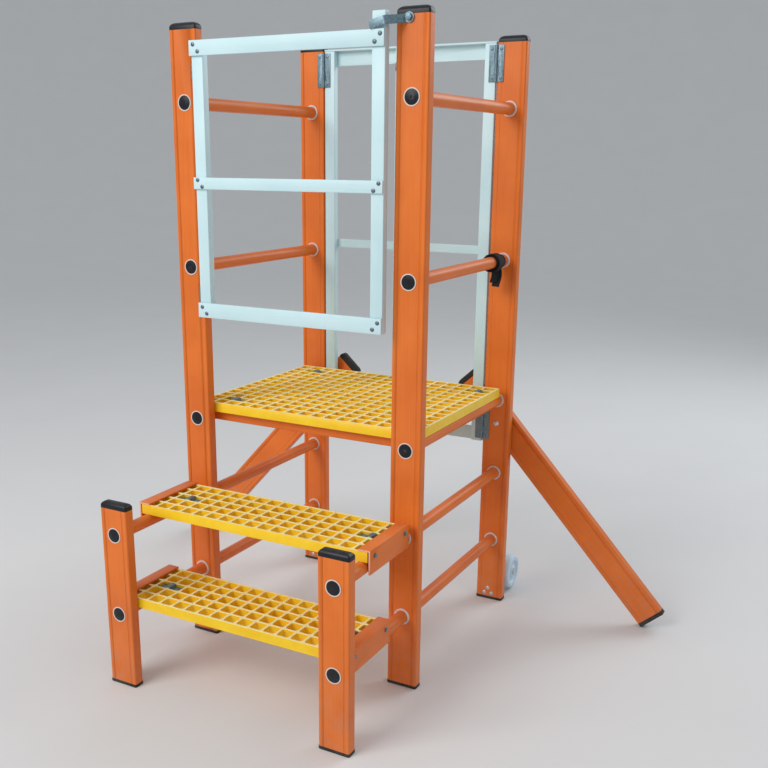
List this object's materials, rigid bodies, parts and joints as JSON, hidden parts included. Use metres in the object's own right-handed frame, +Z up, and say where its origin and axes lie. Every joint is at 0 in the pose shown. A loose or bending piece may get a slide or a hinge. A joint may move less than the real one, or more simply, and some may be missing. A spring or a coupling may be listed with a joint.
{
  "type": "work platform bench",
  "caption": "Free-standing glass-fibre work platform: two runged side frames, grating deck and treads, hinged front gate with strap latch, folding rear frame, outrigger struts and wheels.",
  "frame": {"origin": "centre of the footprint's bounding box, on the floor", "axes": "+X towards the right side frame as seen by someone climbing the steps, +Y from the steps to the rear frame, +Z up"},
  "size_m": [1.6462, 1.097, 1.61],
  "materials": {
    "orange_grp": "pultruded glass fibre, satin orange with faint lengthwise fibres",
    "yellow_grating": "moulded glass fibre, yellow, with a pale gritted top",
    "white_grp": "pultruded glass fibre, satin white",
    "white_collar": "satin white moulded collar",
    "black_plastic": "satin black moulded cap",
    "black_rubber": "matt black rubber",
    "zinc_steel": "zinc-plated steel",
    "grey_wheel": "matt grey solid wheel",
    "black_webbing": "woven black webbing"
  },
  "bodies": {
    "side_frames": {"post_front_left": "orange_grp", "post_front_right": "orange_grp", "post_rear_left": "orange_grp", "post_rear_right": "orange_grp", "post_step_left": "orange_grp", "post_step_right": "orange_grp", "rung_lower_left": "orange_grp", "rung_lower_right": "orange_grp", "rung_upper_left": "orange_grp", "rung_upper_right": "orange_grp", "rung_deck_left": "orange_grp", "rung_deck_right": "orange_grp", "rung_mid_left": "orange_grp", "rung_mid_right": "orange_grp", "rung_top_left": "orange_grp", "rung_top_right": "orange_grp", "rung_collars": "white_collar", "rung_plugs": "black_plastic", "post_caps": "black_plastic", "post_feet": "black_rubber", "gate_post_leaves": "zinc_steel", "latch_bolt": "zinc_steel", "rear_stile_left_outer": "white_grp", "rear_stile_left_inner": "white_grp", "rear_stile_right_inner": "white_grp", "rear_stile_right_outer": "white_grp", "rear_rails_left": "white_grp", "rear_rails_right": "white_grp", "rear_hinges": "zinc_steel", "rear_fasteners": "zinc_steel", "rear_leaf_catch": "zinc_steel", "strut_pivot_bolts": "zinc_steel", "wheel_brackets": "zinc_steel", "wheel_fasteners": "zinc_steel", "rail_strap": "black_webbing"},
    "gate": {"gate_hinge_stile": "white_grp", "gate_latch_stile": "white_grp", "gate_top_rail": "white_grp", "gate_mid_rail": "white_grp", "gate_bottom_rail": "white_grp", "gate_rivets": "zinc_steel", "gate_hinge_leaves": "zinc_steel"},
    "latch": {"latch_hook": "zinc_steel"},
    "strut_l": {"strut_left": "orange_grp", "strut_left_ends": "black_rubber"},
    "strut_r": {"strut_right": "orange_grp", "strut_right_ends": "black_rubber"},
    "wheel_l": {"wheel_left": "grey_wheel"},
    "wheel_r": {"wheel_right": "grey_wheel"},
    "platform": {"platform_grating": "yellow_grating", "platform_beams": "orange_grp", "platform_clips": "zinc_steel"},
    "upper_tread": {"upper_tread_grating": "yellow_grating", "upper_tread_beam": "orange_grp", "upper_tread_brackets": "orange_grp", "upper_tread_fixings": "zinc_steel"},
    "lower_tread": {"lower_tread_grating": "yellow_grating", "lower_tread_beam": "orange_grp", "lower_tread_brackets": "orange_grp", "lower_tread_fixings": "zinc_steel"}
  },
  "joints": [
    {"name": "gate_swing", "type": "hinge", "parent": "side_frames", "child": "gate", "pos_m": [-0.272, -0.2165, 1.24], "axis": [0, 0, -1], "range_deg": [0, 115]},
    {"name": "latch_lift", "type": "hinge", "parent": "side_frames", "child": "latch", "pos_m": [0.302, -0.2075, 1.586], "axis": [0, 1, 0], "range_deg": [0, 110]},
    {"name": "strut_left_swing", "type": "hinge", "parent": "side_frames", "child": "strut_l", "pos_m": [-0.31, 0.4385, 0.555], "axis": [0, 1, 0], "range_deg": [0, 137.5]},
    {"name": "strut_right_swing", "type": "hinge", "parent": "side_frames", "child": "strut_r", "pos_m": [0.31, 0.4385, 0.555], "axis": [0, -1, 0], "range_deg": [0, 137.5]},
    {"name": "wheel_left_spin", "type": "hinge", "parent": "side_frames", "child": "wheel_l", "pos_m": [-0.33, 0.4965, 0.058], "axis": [1, 0, 0], "continuous": true},
    {"name": "wheel_right_spin", "type": "hinge", "parent": "side_frames", "child": "wheel_r", "pos_m": [0.33, 0.4965, 0.058], "axis": [1, 0, 0], "continuous": true},
    {"name": "platform_lift", "type": "slide", "parent": "side_frames", "child": "platform", "axis": [0, 0, 1], "range_m": [0, 0.28]},
    {"name": "upper_tread_lift", "type": "slide", "parent": "side_frames", "child": "upper_tread", "axis": [0, 0, 1], "range_m": [0, 0.35]},
    {"name": "lower_tread_lift", "type": "slide", "parent": "side_frames", "child": "lower_tread", "axis": [0, 0, 1], "range_m": [0, 0.14]}
  ]
}
